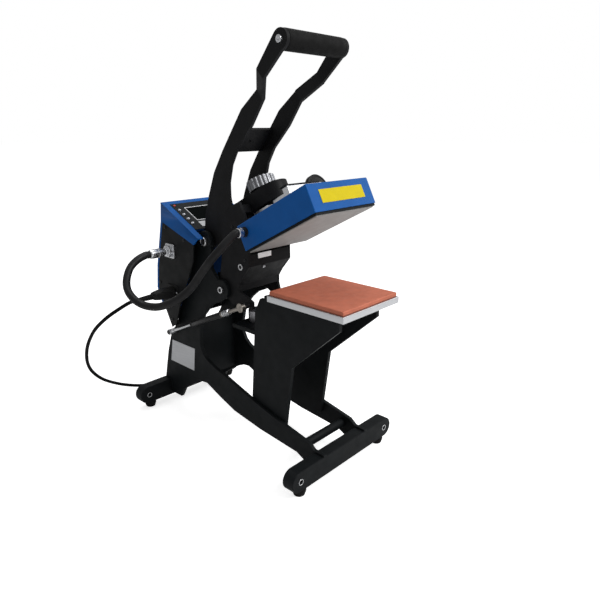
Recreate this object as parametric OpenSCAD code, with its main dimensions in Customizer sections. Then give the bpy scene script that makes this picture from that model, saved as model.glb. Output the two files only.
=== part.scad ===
// Auto-open heat press with a flat heating head, a cranked handle and a gas spring.
// X is the operator's right, -Y the front, +Z up. The floor is z = 0.
// The head is drawn closed, with its platen level, and tilted about the arm pivot to its open rest.

/* [Frame] */
// Depth from the lower platen's front to the rear foot bar's back
depth = 552; // [540:2:570]
// Width over the outer faces of the two side plates
frame_w = 130; // [120:1:150]
// Thickness of each side plate
plate_t = 8; // [6:0.5:8]
// Height of the rubber feet
foot_h = 14; // [10:1:14]
// Diameter of the rubber feet
foot_d = 26; // [20:1:30]
// Length of the foot bars
bar_l = 294; // [280:2:320]
// Depth of the foot bars, front to back
bar_d = 25; // [20:1:25]
// Height of the foot bars
bar_h = 40; // [34:1:40]
// Radius of the lobes round the two main pivots
lobe_r = 20; // [18:1:20]
// Diameter of the main pivot axles
axle_d = 16; // [12:1:18]

/* [Handle] */
// Height of the hand grip's axis above the floor, with the press open
grip_z = 754; // [740:2:770]
// Diameter of the hand grip
grip_d = 33; // [28:1:38]
// Thickness of the handle arms
handle_t = 6.5; // [5:0.5:6.5]
// Half spacing of the handle arms at the grip, to their middles
grip_half = 72; // [68:1:76]

/* [Heating head] */
// Width of the heating head's cover
head_w = 161; // [150:1:170]
// Depth of the heating head's cover
head_d = 190; // [180:1:200]
// Height of the heating head's cover
head_h = 48; // [42:1:50]
// How far the heated platen stands below its cover
platen_drop = 6; // [4:1:8]
// Sheet thickness of the cover
sheet = 2; // [1.5:0.5:2.5]
// Angle that the head opens through
open_angle = 27.5; // [26:0.5:28]
// Diameter of the pressure knob
knob_d = 55; // [46:1:60]
// Height of the pressure knob
knob_h = 21; // [16:1:21]

/* [Lower platen] */
// Width of the lower platen
base_w = 158; // [150:1:166]
// Depth of the lower platen, front to back
base_d = 176; // [160:1:176]
// Thickness of the lower platen
base_t = 12; // [10:1:14]
// Thickness of the silicone pad
pad_t = 8; // [5:1:8]
// Gap between the closed platens
closed_gap = 5; // [5:1:9]

/* [Control box] */
// Width of the control box
box_w = 168; // [160:1:176]
// Wall of the control box
box_t = 3; // [2:0.5:3]
// Number of push buttons in the row
button_n = 4; // [3:1:5]
// Diameter of a push button
button_d = 7; // [6:0.5:8]

/* [Gas spring] */
// Diameter of the gas spring's cylinder
gas_d = 12; // [11:1:15]
// Diameter of the gas spring's rod
rod_d = 6; // [5:0.5:7]
// Distance of the gas spring's axis from the side plate
gas_off = 12; // [12:0.5:14]

/* [Cables] */
// Diameter of the mains cord
cord_d = 7.5; // [7:0.5:7.5]
// Outer diameter of the conduit hose
hose_d = 15; // [13:1:15]

/* [Hidden] */
$fn = 48;
eps = 0.01;
gap = 0.5;          // running gap between moving plates
half = frame_w / 2;
inner = half - plate_t;

// pivots in the side view, as [y, z]
handle_pivot = [93, 407];
arm_pivot = [46, 316];
link_foot = [-6, 370];
link_head = [23.6, 426.4];
grip = [-136, grip_z];
arm_stud = [-27, 298];
frame_stud = [217, 186];

arm_out = inner - gap;
arm_in = arm_out - 6;
handle_out = arm_in - gap;
handle_in = handle_out - handle_t;
axle_r = axle_d / 2;
pin_r = 6;
fit = 0.06;         // radial running clearance of a pin in its bore

bar_z = foot_h;
bar_top = bar_z + bar_h;
rear_bar_y = depth / 2 - bar_d;
front_bar_y = -228;
foot_x = bar_l / 2 - 22;

// closed head
platen_z = 351;
cover_z = platen_z + platen_drop;
cover_top = cover_z + head_h;
head_y = -176;
tongue_z = cover_top + 24;
tongue_t = 32;
tongue_top = tongue_z + tongue_t;
knob_y = -98;
screw_r = 6;

pad_top = platen_z - closed_gap;
base_z = pad_top - pad_t - base_t;
base_y = (base_d - depth) / 2;

// control box's sloping top, from its rear edge to its front edge, as [y, z]
lid_rear = [209, 476];
lid_front = [88, 416];
lid_angle = atan2(lid_rear[1] - lid_front[1], lid_rear[0] - lid_front[0]);
lid_len = norm(lid_rear - lid_front);
box_half = box_w / 2;

gas_x = -half - gas_off;
gas_lean = atan2(frame_stud[0] - arm_stud[0], arm_stud[1] - frame_stud[1]);
gas_len = norm(arm_stud - frame_stud);
gas_start = 89;
gas_body = 114;

// conduit: its line on the side panel as [y, z], and how far its flange, nut and sleeve stand out
conduit = [183, 378];
flange_t = 4;
nut_l = 8;
sleeve_l = 40;
conduit_end = box_half + flange_t + nut_l + sleeve_l;
inlet = [186, 288];
plug_in = 50;       // length of the connector's body
relief_l = 30;      // length of its strain relief
cord_start = box_half + 2 + plug_in + relief_l;

// route of the conduit hose, from its sleeve to the fitting on the head
hose_end = [-head_w / 2 - 13, -48.5, 446.4];
hose_path = [[-conduit_end, conduit[0], conduit[1]], [-conduit_end - 4, conduit[0], conduit[1]],
    [-conduit_end - 10, conduit[0], conduit[1]],
    [-164, 183, 372], [-183, 181, 359], [-198, 172, 339], [-206, 156, 322], [-205, 135, 308],
    [-198, 113, 300], [-188, 85, 301], [-179, 57, 312], [-166, 37, 326], [-153, 22, 344],
    [-146, 2, 371], [-142, -23, 399], [-131, -38, 420], [-116, -45, 436], hose_end - [9, 0, 0],
    hose_end - [4, 0, 0], hose_end];

// route of the mains cord, from its connector to the coil behind the press
coil_in = 33;         // least radius of the coil, at its cord's middle
coil_step = cord_d + 0.5;
coil_half = 2.125;    // turns that it winds in, and then out again
coil_out = coil_in + coil_half * coil_step;
coil_centre = [84, 346 + coil_out];
cord_z = cord_d / 2 + 0.25;
cord_path = [[-cord_start, inlet[0], inlet[1]], [-cord_start - 4, inlet[0], inlet[1]],
    [-cord_start - 9, inlet[0], inlet[1]],
    [-190, 184, 288], [-208, 194, 277], [-224, 221, 255], [-231, 263, 221], [-231, 300, 182],
    [-225, 330, 145], [-213, 356, 107], [-196, 371, 76], [-171, 377, 48], [-142, 368, 30],
    [-112, 360, 17], [-80, 352, 8], [-46, 347, 4.5], [0, 346, cord_z], [40, 346, cord_z],
    [64, 346, cord_z], [70, 346, cord_z], [76, 346, cord_z]];

function lerp3(a, b, t) = a + (b - a) * t;
function spline(p, i, t) =
    let (a = p[max(i - 1, 0)], b = p[i], c = p[i + 1], d = p[min(i + 2, len(p) - 1)])
    0.5 * (2 * b + (c - a) * t + (2 * a - 5 * b + 4 * c - d) * t * t
        + (3 * b - a - 3 * c + d) * t * t * t);
function smooth(p, n) = concat([for (i = [0:len(p) - 2], k = [0:n - 1]) spline(p, i, k / n)],
    [p[len(p) - 1]]);
function unit(v) = v / norm(v);
function along(p, i) = unit(p[min(i + 1, len(p) - 1)] - p[max(i - 1, 0)]);
function ring(p, i, r, n) =
    let (t = i == 0 ? unit(p[1] - p[0]) : i == len(p) - 1 ? unit(p[i] - p[i - 1]) : along(p, i),
        u = unit(cross(t, [0, 0, 1])), v = cross(u, t))
    [for (k = [0:n - 1]) p[i] + r * (u * cos(360 * k / n) + v * sin(360 * k / n))];

// Coil of two layers on the floor: it winds in, climbs a layer in half a turn, and winds out.
// A straight tail leads to the plug beside it.
coil_start = cord_path[len(cord_path) - 1];
function coil_r(t) = coil_in + coil_step * abs(t - coil_half);
function coil_z(t) = cord_z + coil_step * min(max((t - coil_half) * 2 + 0.5, 0), 1);
function coil_point(t) = [coil_centre[0] + coil_r(t) * cos(t * 360 - 90),
    coil_centre[1] + coil_r(t) * sin(t * 360 - 90), coil_z(t)];
coil_arc = [for (k = [0:coil_half * 48]) coil_point(k / 24)];
coil_dir = [cos(coil_half * 720), sin(coil_half * 720), 0];
plug_z = 17.75;
tail_l = 44;
coil_last = coil_arc[len(coil_arc) - 1];
coil_end = [coil_last[0], coil_last[1], plug_z] + coil_dir * tail_l;
coil_path = concat([coil_start], coil_arc, [coil_last + coil_dir * 12 + [0, 0, 0.5],
    lerp3(coil_last, coil_end, 0.6), coil_end - coil_dir * 9, coil_end]);
coil_gap = min([for (i = [0:len(coil_path) - 1], j = [i + 12:1:len(coil_path) - 1])
    norm(coil_path[i] - coil_path[j])]) - cord_d;
echo(coil_gap = coil_gap);

// Draws a side-view outline as a plate from x0 to x1
module side(x0, x1) {
    translate([x0, 0, 0]) rotate([90, 0, 90]) linear_extrude(x1 - x0) children();
}

// The same outline on the left and right
module both(x0, x1) {
    side(x0, x1) children();
    side(-x1, -x0) children();
}

module disc(p, r) {
    translate(p) circle(r);
}

// A cylinder along X at the side-view point p
module pin(p, r, x0, x1) {
    translate([x0, p[0], p[1]]) rotate([0, 90, 0]) cylinder(h = x1 - x0, r = r);
}

// A box from its two corners
module block(a, b) {
    translate(a) cube(b - a);
}

// Turns what is drawn closed to the open rest
module opened() {
    translate([0, arm_pivot[0], arm_pivot[1]]) rotate([-open_angle, 0, 0])
        translate([0, -arm_pivot[0], -arm_pivot[1]]) children();
}

// Frame of the sloping top: X across, Y up the slope from its front edge, Z out of it
module on_lid() {
    translate([0, lid_front[0], lid_front[1]]) rotate([lid_angle, 0, 0]) children();
}

// Frame of the gas spring: Z from the frame stud to the arm stud
module on_gas() {
    translate([gas_x, frame_stud[0], frame_stud[1]]) rotate([gas_lean, 0, 0]) children();
}

// A tube swept along a route
module tube(p, r, n) {
    m = len(p);
    pts = [for (i = [0:m - 1]) each ring(p, i, r, n)];
    walls = [for (i = [0:m - 2], k = [0:n - 1]) let (a = i * n + k, b = i * n + (k + 1) % n)
        each [[a, b, b + n], [a, b + n, a + n]]];
    ends = concat([for (k = [1:n - 2]) [0, k + 1, k]],
        [for (k = [1:n - 2]) [(m - 1) * n, (m - 1) * n + k, (m - 1) * n + k + 1]]);
    polyhedron(pts, concat(walls, ends));
}

module mirrored() {
    children();
    mirror([1, 0, 0]) children();
}

module plate_outline() {
    difference() {
        union() {
            polygon([handle_pivot + [-20, -12], handle_pivot + [-16, -35], arm_pivot + [30, 38],
                arm_pivot + [20, 27], arm_pivot + [6, 14], arm_pivot + [-10, -14],
                arm_pivot + [6, -27], [75, 279], [93, 264], [109, 247], [121, 224], [127, 198],
                [127, 172], [118, 156], [106, 146], [76, 134], [50, 128], [21, 119], [-30, 104],
                [-100, 86], [-190, bar_top + 14], [front_bar_y + bar_d, bar_top + 4],
                [front_bar_y, bar_top + 4], [front_bar_y, bar_top],
                [front_bar_y + bar_d, bar_top], [front_bar_y + bar_d, 24], [-186, 24],
                [-160, 36], [-60, 44], [20, 56], [66, 72], [110, 90], [128, 88], [150, 78],
                [175, 62], [196, 48], [212, 22], [rear_bar_y, 22], [rear_bar_y, bar_top],
                [rear_bar_y + bar_d - 4, bar_top], [253, 127], [237, 169], [205, 213],
                [194, 239], [175, 278], [153, 316], [135, 358], [131, 399],
                handle_pivot + [7, 17]]);
            disc(handle_pivot, lobe_r + 1);
            disc(arm_pivot, lobe_r);
        }
        disc(handle_pivot, axle_r);
        disc(arm_pivot, axle_r);
    }
}

module side_plate_left() {
    color([0.06, 0.06, 0.07]) side(-half, -inner) plate_outline();
}

module side_plate_right() {
    color([0.06, 0.06, 0.07]) side(inner, half) plate_outline();
}

module tie(p) {
    color([0.1, 0.1, 0.11]) pin(p, 9, -inner, inner);
}

// Cross panel between the plates, behind their curved front edges
module tie_rear() {
    color([0.06, 0.06, 0.07]) block([-inner, 157, 80], [inner, 165, 219]);
}

module tie_front() { tie([-170, 52]); }

module foot_bar(y) {
    color([0.05, 0.05, 0.06]) difference() {
        union() {
            block([-bar_l / 2 + bar_h / 2, y, bar_z], [bar_l / 2 - bar_h / 2, y + bar_d, bar_top]);
            for (x = [-1, 1])
                translate([x * (bar_l / 2 - bar_h / 2), y, bar_z + bar_h / 2]) rotate([-90, 0, 0])
                    cylinder(h = bar_d, d = bar_h);
        }
        for (x = [-1, 1]) translate([x * foot_x, y - 1, bar_z + bar_h / 2])
            rotate([-90, 0, 0]) cylinder(h = bar_d + 2, d = 9);
    }
}

module foot_bar_rear() { foot_bar(rear_bar_y); }
module foot_bar_front() { foot_bar(front_bar_y); }

module foot(x, y) {
    color([0.03, 0.03, 0.03]) translate([x, y + bar_d / 2, 0]) {
        cylinder(h = 3, d1 = foot_d - 3, d2 = foot_d);
        translate([0, 0, 3]) cylinder(h = foot_h - 3, d = foot_d);
    }
}

module foot_rear_left() { foot(-foot_x + 8, rear_bar_y); }
module foot_rear_right() { foot(foot_x - 8, rear_bar_y); }
module foot_front_left() { foot(-foot_x + 8, front_bar_y); }
module foot_front_right() { foot(foot_x - 8, front_bar_y); }

// Axle through both side plates, with a washer and a hex socket head at each end
module axle(p, head_r) {
    color([0.75, 0.76, 0.78]) difference() {
        union() {
            pin(p, axle_r, -half, half);
            mirrored() pin(p, head_r, half, half + 5);
        }
        mirrored() translate([half + 2, p[0], p[1]]) rotate([0, 90, 0])
            cylinder(h = 4, r = head_r * 0.5, $fn = 6);
    }
}

module axle_handle() { axle(handle_pivot, 10); }
module axle_arm() { axle(arm_pivot, 9); }

module box_lid() {
    color([0.03, 0.25, 0.62]) {
        difference() {
            union() {
                on_lid() block([-box_half, 30, -box_t], [box_half, lid_len, 0]);
                mirrored() on_lid() block([half + 5 + gap, 0, -box_t], [box_half, 30 + eps, 0]);
                both(box_half - box_t, box_half) polygon([lid_front, lid_rear, [214, 437],
                    [104, 401]]);
                side(-box_half, box_half) polygon([lid_rear, lid_rear + [-3, -4], [211, 437],
                    [214, 437]]);
            }
            // window for the display
            on_lid() block([-48, 55, -box_t - 1], [22, 108, 1]);
            for (i = [0:button_n - 1]) on_lid() translate([-62, 50 + i * 16, -box_t - 1])
                cylinder(h = box_t + 2, d = button_d + 2 * gap);
        }
    }
}

// Rear profile of the box, from its lid to its floor, as [y, z]
box_rear = [[214, 437 - eps], [240, 338], [247, 286], [230, 248]];
lip = 6;            // width of the rear wall's lips beside the side panels
box_inner = [for (i = [0:3]) box_rear[i] - [lip, i == 0 ? lip * 36 / 110 : 0]];

module box_side_outline() {
    polygon(concat([[104, 401 - eps]], box_inner, [[200, 203], [183, 216], [167, 257], [149, 293], [127, 330], [109, 366]]));
}

module box_side_left() {
    color([0.05, 0.05, 0.06]) difference() {
        side(-box_half, -box_half + box_t) box_side_outline();
        pin(conduit, 8, -box_half - 1, -box_half + box_t + 1);
        block([-box_half - 1, inlet[0] - 14, inlet[1] - 12], [-box_half + box_t + 1,
            inlet[0] + 14, inlet[1] + 12]);
    }
}

module box_side_right() {
    color([0.05, 0.05, 0.06]) difference() {
        side(box_half - box_t, box_half) box_side_outline();
        block([box_half - box_t - 1, 186.7, 318.7], [box_half + 1, 207.3, 347.3]);
    }
}

// Rear wall with a lip beside each side panel, and the floor
module box_back() {
    color([0.03, 0.25, 0.62]) {
        side(-box_half + box_t, box_half - box_t) polygon(concat(box_rear, [[196, 248],
            [196, 251], box_rear[3] + [-2, 3], box_rear[2] - [box_t, 0],
            box_rear[1] - [box_t, 0], box_rear[0] - [box_t, 0]]));
        both(box_half - box_t - eps, box_half) polygon(concat(box_rear,
            [for (i = [3:-1:0]) box_inner[i]]));
    }
}

module box_front() {
    color([0.02, 0.2, 0.55]) block([-inner, 115.5, 330], [inner, 118, 424]);
}

// Bezel round the display and the plain key strip below it
module display_frame() {
    color([0.75, 0.76, 0.78]) on_lid() difference() {
        block([-53, 32, 0], [27, 113, 1.5]);
        block([-44, 59, -1], [18, 104, 3]);
    }
}

module display_screen() {
    color([0.01, 0.01, 0.01]) on_lid() block([-48, 55, -box_t], [22, 108, 0]);
}

module button(i) {
    color([0.8, 0.8, 0.82]) on_lid() translate([-62, 50 + i * 16, -box_t - 1.5]) {
        cylinder(h = box_t + 4, d = button_d);
        translate([0, 0, -1]) cylinder(h = 1, d = button_d + 3);
    }
}

module button_1() { button(0); }
module button_2() { button(1); }
module button_3() { button(2); }
module button_4() { button(3); }

module power_rocker() {
    color([0.5, 0.05, 0.04]) block([box_half - 4, 187, 319], [box_half + 3, 207, 347]);
}

// Square flange, nut and sleeve for the conduit hose, on the left side panel
module conduit_flange() {
    nut_x = -box_half - flange_t;
    color([0.8, 0.81, 0.83]) {
        block([nut_x, conduit[0] - 15, conduit[1] - 15], [-box_half, conduit[0] + 15,
            conduit[1] + 15]);
        pin(conduit, 8, -box_half, -box_half + box_t + 4);
        translate([nut_x, conduit[0], conduit[1]]) rotate([0, -90, 0])
            cylinder(h = nut_l, r = 12, $fn = 6);
        pin(conduit, 9.5, -conduit_end, nut_x - nut_l);
    }
}

// Mains inlet: a flange and a body through the panel
module inlet_socket() {
    color([0.04, 0.04, 0.04]) {
        block([-box_half - 2, inlet[0] - 18, inlet[1] - 15], [-box_half, inlet[0] + 18,
            inlet[1] + 15]);
        block([-box_half, inlet[0] - 14, inlet[1] - 12], [-half - 1, inlet[0] + 14,
            inlet[1] + 12]);
    }
}

// Plain label plate: its print is left off
module rating_plate() {
    color([0.72, 0.73, 0.75]) side(-half - 1, -half) polygon([[231, 159.5],
        [147, 160.5], [154, 106], [242, 106]]);
}

module magnet() {
    color([0.3, 0.3, 0.32]) translate([0, 10, 244]) {
        cylinder(h = 24, d = 40);
        cylinder(h = 26, d = 12);
    }
}

// Two webs and a top plate that carry the lower platen, and a shelf for the magnet
module platen_support() {
    color([0.07, 0.07, 0.08]) {
        both(inner - 8, inner) polygon([[-44, 290], [-58, base_z - 8],
            [-250, base_z - 8], [-250, base_z - 26], [-140, 200], [-120, 60], [-26, 60]]);
        block([-inner, -250, base_z - 8 - eps], [inner, -70, base_z]);
        block([-inner + 8 - eps, -62, 236], [inner - 8 + eps, 34, 244]);
    }
}

module lower_platen() {
    color([0.62, 0.63, 0.65]) block([-base_w / 2, base_y - base_d / 2, base_z],
        [base_w / 2, base_y + base_d / 2, base_z + base_t]);
}

module silicone_pad() {
    color([0.75, 0.3, 0.2]) block([-base_w / 2 + 3, base_y - base_d / 2 + 3, base_z + base_t],
        [base_w / 2 - 3, base_y + base_d / 2 - 3, pad_top]);
}

module gas_frame_stud() {
    color([0.78, 0.79, 0.8]) {
        pin(frame_stud, 5, gas_x - 8, -half);
        pin(frame_stud, 7, -half - 2, -half);
    }
}

module handle_outline() {
    polygon([[-54, 686], [-13, 655], [12, 623], [43, 583], [71, 542], [90, 498], [105, 457],
        [109, 422], [109, 404], [93, 391], [80, 397], [48, 413], [24, 412], [10, 424], [13, 440],
        [22, 470], [29, 499], [29, 525], [20, 558], [3, 586], [-38, 628], [-67, 668]]);
}

// One handle arm: the lower plate, the jog outwards and the strip up to the grip
module handle_arm() {
    color([0.07, 0.07, 0.08]) {
        difference() {
            union() {
                side(handle_in, handle_out) handle_outline();
                pin(handle_pivot, 16, handle_in, handle_out);
            }
            pin(handle_pivot, axle_r + fit, 0, half);
        }
        hull() {
            side(handle_in, handle_out) polygon([[-54, 686], [-56, 689], [-69, 671], [-67, 668]]);
            side(grip_half - handle_t / 2, grip_half + handle_t / 2)
                polygon([[-82, 715], [-84, 718], [-99, 702], [-97, 699]]);
        }
        side(grip_half - handle_t / 2, grip_half + handle_t / 2)
            polygon([[-83, 716.5], grip + [12, 11], grip + [2, 16], grip + [-10, 12],
                grip + [-15, 1], grip + [-11, -9], [-98, 700.5]]);
        pin(grip, 16, grip_half - handle_t / 2, grip_half + handle_t / 2);
    }
}

module handle_arm_right() { handle_arm(); }
module handle_arm_left() { mirror([1, 0, 0]) handle_arm(); }

// Cross plate between the arms, along their rear edge
module handle_cross_plate() {
    color([0.07, 0.07, 0.08]) difference() {
        side(-handle_in, handle_in) polygon([[10, 624], [41, 584], [36, 580], [5, 620]]);
        translate([0, 23, 602]) rotate([52 - 90, 0, 0]) cylinder(h = 30, d = 6, center = true);
    }
}

module hand_grip() {
    color([0.05, 0.05, 0.05]) pin(grip, grip_d / 2, -grip_half + handle_t / 2,
        grip_half - handle_t / 2);
}

module grip_screws() {
    color([0.8, 0.81, 0.83]) mirrored() pin(grip, 6, grip_half + handle_t / 2,
        grip_half + handle_t / 2 + 4);
}

module arm_outline() {
    polygon([[-28.6, 398], [-29, 373], [-6, 345.8], [3.3, 331.5], [3.5, 316], [-2, 297.7],
        [19, 288.6], [37.3, 297.7], [50, 300], [62, 316], [60, 335], [52, 370], [44, 430],
        [38, 470], [18, 484], [-6, 494], [-22, 466]]);
}

module arm_bores() {
    pin(arm_pivot, axle_r + fit, -half, half);
    pin(link_foot, pin_r, -half, half);
}

module arm_plate_right() {
    color([0.06, 0.06, 0.07]) difference() {
        side(arm_in, arm_out) arm_outline();
        arm_bores();
    }
}

// The left plate also carries the gas spring's stud on its nose
module arm_plate_left() {
    color([0.06, 0.06, 0.07]) difference() {
        union() {
            side(-arm_out, -arm_in) arm_outline();
            side(-arm_out, -arm_in) polygon([[-36, 291], [-36, 305], [-20, 312], [4, 320],
                [10, 292]]);
            pin(arm_stud, 5, gas_x + 4.4, -arm_out);
        }
        arm_bores();
    }
}

// Block between the arm plates that carries the tongue
module arm_block() {
    color([0.07, 0.07, 0.08]) opened() block([-arm_in, -78, 429], [arm_in, -57, 445]);
}

// Box tongue that reaches over the head
module arm_tongue() {
    color([0.06, 0.06, 0.07]) opened() difference() {
        union() {
            block([-27, -125, tongue_z], [27, -78, tongue_top]);
            block([-27, -57, tongue_z], [27, -30, tongue_top]);
            block([-27, -78 - eps, 445], [27, -57 + eps, tongue_top]);
            translate([0, -125, tongue_z]) intersection() {
                cylinder(h = tongue_t, r = 27);
                block([-27, -27, 0], [27, eps, tongue_t]);
            }
        }
        translate([0, knob_y, tongue_z - 1]) cylinder(h = tongue_t + 2, r = screw_r + fit);
    }
}

// Folded panel that closes the front between the arm plates
module arm_front_panel() {
    color([0.06, 0.06, 0.07]) side(-arm_in, arm_in) polygon([[-28.6, 397], [-29, 373],
        [-6, 345.8], [3.3, 331.5], [3.5, 318], [6, 318], [5.8, 332.2], [-4, 347.4], [-24, 371],
        [-23, 397.5]]);
}

module link_pin_lower() {
    color([0.75, 0.76, 0.78]) pin(link_foot, pin_r, -arm_out, arm_out);
}

// Aluminium cross bar on the head, and its web to the tongue
module hanger_block() {
    color([0.85, 0.86, 0.88]) opened() {
        block([-45, -200, cover_top], [45, -186, tongue_z + 1]);
        block([-20, -186 - eps, cover_top], [20, -130, tongue_z]);
    }
}

// Sheet cover: a top and four skirts
module head_cover() {
    color([0.02, 0.33, 0.78]) opened() difference() {
        block([-head_w / 2, head_y - head_d / 2, cover_z], [head_w / 2, head_y + head_d / 2, cover_top]);
        block([-head_w / 2 + sheet, head_y - head_d / 2 + sheet, cover_z - 1],
            [head_w / 2 - sheet, head_y + head_d / 2 - sheet, cover_top - sheet]);
    }
}

// Heated platen with the insulation above it, seated under the cover's top
module heating_platen() {
    color([0.72, 0.74, 0.76]) opened() {
        block([-head_w / 2 + 5, head_y - head_d / 2 + 5, platen_z],
            [head_w / 2 - 5, head_y + head_d / 2 - 5, platen_z + 20]);
        block([-head_w / 2 + 14, head_y - head_d / 2 + 14, platen_z + 20 - eps],
            [head_w / 2 - 14, head_y + head_d / 2 - 14, cover_top - sheet]);
    }
}

// Round cover on edge behind the cross bar, over the heater's terminals
module thermal_cap() {
    color([0.04, 0.04, 0.04]) opened() intersection() {
        translate([54, -173, cover_top + 18.5]) rotate([90, 0, 0]) union() {
            cylinder(h = 10, r = 26.5);
            cylinder(h = 12, r = 23);
        }
        block([20, -190, cover_top], [90, -170, cover_top + 60]);
    }
}

// Plain yellow plate on the head's front: its print is left off
module front_plate() {
    color([0.95, 0.8, 0.05]) opened() block([-56, head_y - head_d / 2 - 0.8, cover_z + 13],
        [56, head_y - head_d / 2, cover_z + 36]);
}

module hose_fitting() {
    color([0.75, 0.76, 0.78]) opened() {
        pin([-98, 388], 9.5, -head_w / 2 - 5, -head_w / 2);
        pin([-98, 388], 8.5, -head_w / 2 - 13, -head_w / 2 - 5);
    }
}

module toggle_link() {
    mid = (link_foot + link_head) / 2;
    tilt = atan2(link_head[1] - link_foot[1], link_head[0] - link_foot[0]);
    len = norm(link_head - link_foot);
    color([0.08, 0.08, 0.09]) difference() {
        union() {
            pin(link_foot, 12, -handle_in + gap, handle_in - gap);
            pin(link_head, 12, -handle_in + gap, handle_in - gap);
            translate([0, mid[0], mid[1]]) rotate([tilt, 0, 0])
                block([-20, -len / 2, -9], [20, len / 2, 9]);
        }
        pin(link_foot, pin_r + fit, -half, half);
    }
}

// Knurled knob with its screw
module pressure_knob() {
    color([0.85, 0.86, 0.88]) opened() translate([0, knob_y, 0]) {
        difference() {
            translate([0, 0, tongue_top + 3]) cylinder(h = knob_h - 1, d = knob_d);
            for (i = [0:19]) rotate([0, 0, i * 18]) translate([knob_d / 2 + 0.6, 0, tongue_top + 2])
                cylinder(h = knob_h + 2, r = 2.8, $fn = 16);
        }
        translate([0, 0, tongue_top + 0.4]) cylinder(h = 3, d = 30);
        translate([0, 0, cover_top + 2]) cylinder(h = tongue_top - cover_top, r = screw_r);
    }
}

// Nut block on the pressure screw
module pressure_block() {
    color([0.8, 0.81, 0.83]) opened() difference() {
        block([-32, knob_y - 27, cover_top + 6], [32, knob_y + 14, cover_top + 18]);
        translate([0, knob_y, cover_top]) cylinder(h = 30, r = screw_r + fit);
    }
}

module gas_rod() {
    color([0.85, 0.86, 0.87]) on_gas() difference() {
        union() {
            cylinder(h = 142, d = rod_d);
            rotate([0, 90, 0]) cylinder(h = 14, r = 9, center = true);
            cylinder(h = 18, r = 5.5);
        }
        rotate([0, 90, 0]) cylinder(h = 40, r = 5 + fit, center = true);
    }
}

module gas_cylinder() {
    color([0.04, 0.04, 0.045]) on_gas() difference() {
        translate([0, 0, gas_start]) cylinder(h = gas_body, d = gas_d);
        translate([0, 0, gas_start - 1]) cylinder(h = gas_body - 19, r = rod_d / 2 + fit);
    }
}

// Brass thread and end eye beside the arm's stud
module gas_end() {
    thread_z = gas_start + gas_body;
    color([0.75, 0.62, 0.3]) on_gas() {
        translate([0, 0, thread_z]) cylinder(h = gas_len - 8 - thread_z, d = 8);
        translate([0, 0, thread_z]) cylinder(h = 8, d = 12, $fn = 6);
        translate([0, 0, gas_len]) rotate([0, 90, 0]) cylinder(h = 8, r = 9, center = true);
    }
}

module conduit_hose() {
    color([0.04, 0.04, 0.04]) tube(smooth(hose_path, 2), hose_d / 2, 12);
}

module cord_run() {
    color([0.03, 0.03, 0.03]) tube(smooth(cord_path, 3), cord_d / 2, 8);
}

module cord_coil() {
    color([0.03, 0.03, 0.03]) tube(coil_path, cord_d / 2, 6);
}

module cord_connector() {
    color([0.03, 0.03, 0.03]) {
        block([-box_half - 2 - plug_in, inlet[0] - 13, inlet[1] - 10], [-box_half - 2,
            inlet[0] + 13, inlet[1] + 10]);
        pin(inlet, 6, -cord_start, -box_half - 2 - plug_in);
    }
}

// Round mains plug that lies beside the coil
module cord_plug() {
    color([0.03, 0.03, 0.03]) translate(coil_end) rotate([0, 0, atan2(coil_dir[1], coil_dir[0])])
        rotate([0, 90, 0]) {
            cylinder(h = 14, r1 = 5, r2 = 9);
            translate([0, 0, 14]) cylinder(h = 26, r = plug_z - 0.25);
            for (y = [-9.5, 9.5]) translate([0, y, 40 - eps]) cylinder(h = 19, d = 4.8);
        }
}

side_plate_left();
side_plate_right();
tie_rear();
tie_front();
foot_bar_rear();
foot_bar_front();
foot_rear_left();
foot_rear_right();
foot_front_left();
foot_front_right();
axle_handle();
axle_arm();
box_lid();
box_side_left();
box_side_right();
box_back();
box_front();
display_frame();
display_screen();
button_1();
button_2();
button_3();
button_4();
power_rocker();
conduit_flange();
inlet_socket();
rating_plate();
magnet();
platen_support();
lower_platen();
silicone_pad();
gas_frame_stud();
handle_arm_left();
handle_arm_right();
handle_cross_plate();
hand_grip();
grip_screws();
arm_plate_left();
arm_plate_right();
arm_block();
arm_tongue();
arm_front_panel();
link_pin_lower();
hanger_block();
head_cover();
heating_platen();
thermal_cap();
front_plate();
hose_fitting();
toggle_link();
pressure_knob();
pressure_block();
gas_rod();
gas_cylinder();
gas_end();
conduit_hose();
cord_run();
cord_coil();
cord_connector();
cord_plug();
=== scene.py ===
import math

import bmesh
import bpy
from mathutils import Matrix, Vector


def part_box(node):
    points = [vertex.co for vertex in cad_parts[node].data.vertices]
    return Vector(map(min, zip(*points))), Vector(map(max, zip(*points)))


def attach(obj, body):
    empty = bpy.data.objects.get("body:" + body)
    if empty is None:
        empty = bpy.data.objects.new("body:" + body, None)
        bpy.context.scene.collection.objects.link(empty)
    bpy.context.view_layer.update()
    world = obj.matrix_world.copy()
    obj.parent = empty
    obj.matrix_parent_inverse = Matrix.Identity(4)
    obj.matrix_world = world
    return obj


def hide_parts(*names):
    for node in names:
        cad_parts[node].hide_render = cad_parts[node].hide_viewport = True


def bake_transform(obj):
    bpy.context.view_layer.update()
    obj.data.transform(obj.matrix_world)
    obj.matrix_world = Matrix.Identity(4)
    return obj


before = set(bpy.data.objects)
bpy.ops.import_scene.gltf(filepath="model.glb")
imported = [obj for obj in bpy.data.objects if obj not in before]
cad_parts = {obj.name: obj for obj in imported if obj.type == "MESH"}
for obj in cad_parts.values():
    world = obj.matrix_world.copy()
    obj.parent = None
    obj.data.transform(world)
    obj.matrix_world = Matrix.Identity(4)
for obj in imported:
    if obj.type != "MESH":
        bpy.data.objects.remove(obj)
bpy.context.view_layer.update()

# The camera stands at the press's front left, a little below the hand grip, and looks down on it.
# Its place and lens were worked out from the straight edges in the photograph.
CAMERA_PLACE = (-0.7238, -0.7852, 0.6279)
CAMERA_TILT = 72.38
CAMERA_TURN = -46.91
CAMERA_LENS = 32.96
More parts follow.
